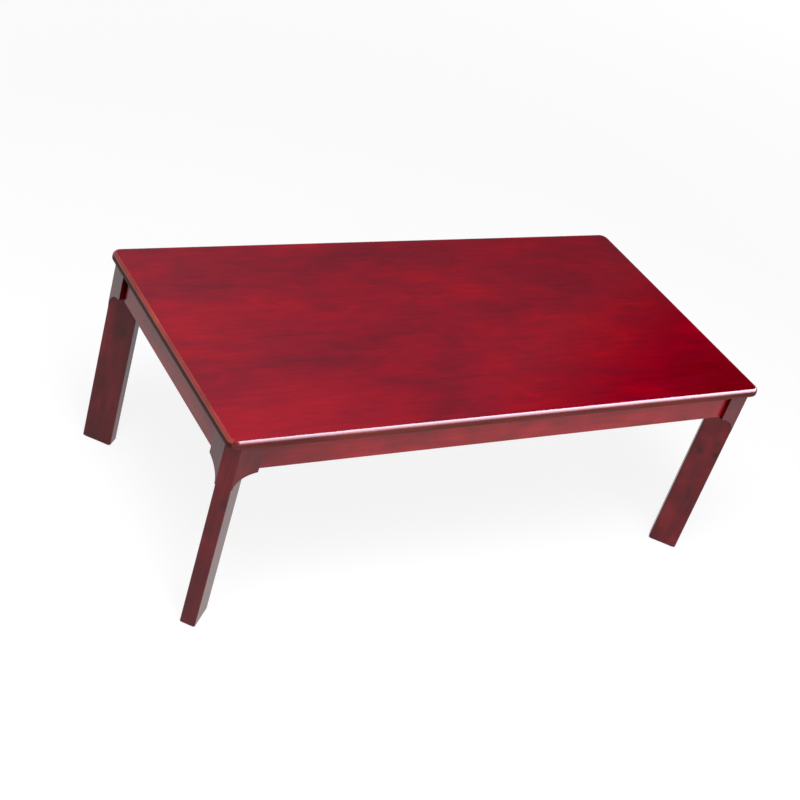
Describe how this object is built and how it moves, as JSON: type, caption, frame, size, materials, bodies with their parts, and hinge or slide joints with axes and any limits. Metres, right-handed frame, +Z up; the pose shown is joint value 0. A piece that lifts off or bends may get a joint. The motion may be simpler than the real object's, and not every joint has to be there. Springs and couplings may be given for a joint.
{
  "type": "tea table",
  "caption": "Low rectangular tea table: a board top with rounded edges over an apron frame, and at each corner a coved board leg set on the diagonal.",
  "frame": {"origin": "on the floor, under the middle of the top", "axes": "+X along the table's long side, +Y to the back, +Z up"},
  "size_m": [1, 0.5, 0.365],
  "materials": {
    "top_lacquer": "crimson stained veneer under gloss lacquer",
    "frame_lacquer": "maroon stained rubberwood under gloss lacquer",
    "inner_wood": "stained pine with one thin matt coat",
    "dowel_beech": "bare fluted beech",
    "zinc_steel": "bright zinc plated",
    "felt": "pressed felt"
  },
  "bodies": {
    "root": {"top_panel": "top_lacquer", "apron_front": "frame_lacquer", "apron_back": "frame_lacquer", "apron_left": "frame_lacquer", "apron_right": "frame_lacquer", "centre_rail": "inner_wood", "rail_dowels": "dowel_beech", "cleat_left": "inner_wood", "cleat_right": "inner_wood", "top_screws": "zinc_steel", "brace_screws": "zinc_steel", "cleat_front_left": "inner_wood", "cleat_front_right": "inner_wood", "cleat_back_left": "inner_wood", "cleat_back_right": "inner_wood", "leg_board_front_left": "frame_lacquer", "leg_board_front_right": "frame_lacquer", "leg_board_back_left": "frame_lacquer", "leg_board_back_right": "frame_lacquer", "leg_wing_long_front_left": "frame_lacquer", "leg_wing_long_front_right": "frame_lacquer", "leg_wing_long_back_left": "frame_lacquer", "leg_wing_long_back_right": "frame_lacquer", "leg_wing_short_front_left": "frame_lacquer", "leg_wing_short_front_right": "frame_lacquer", "leg_wing_short_back_left": "frame_lacquer", "leg_wing_short_back_right": "frame_lacquer", "corner_brace_front_left": "inner_wood", "corner_brace_front_right": "inner_wood", "corner_brace_back_left": "inner_wood", "corner_brace_back_right": "inner_wood", "hanger_bolt_front_left": "zinc_steel", "hanger_bolt_front_right": "zinc_steel", "hanger_bolt_back_left": "zinc_steel", "hanger_bolt_back_right": "zinc_steel", "washer_front_left": "zinc_steel", "washer_front_right": "zinc_steel", "washer_back_left": "zinc_steel", "washer_back_right": "zinc_steel", "nut_front_left": "zinc_steel", "nut_front_right": "zinc_steel", "nut_back_left": "zinc_steel", "nut_back_right": "zinc_steel", "foot_pad_front_left": "felt", "foot_pad_front_right": "felt", "foot_pad_back_left": "felt", "foot_pad_back_right": "felt"}
  },
  "joints": []
}
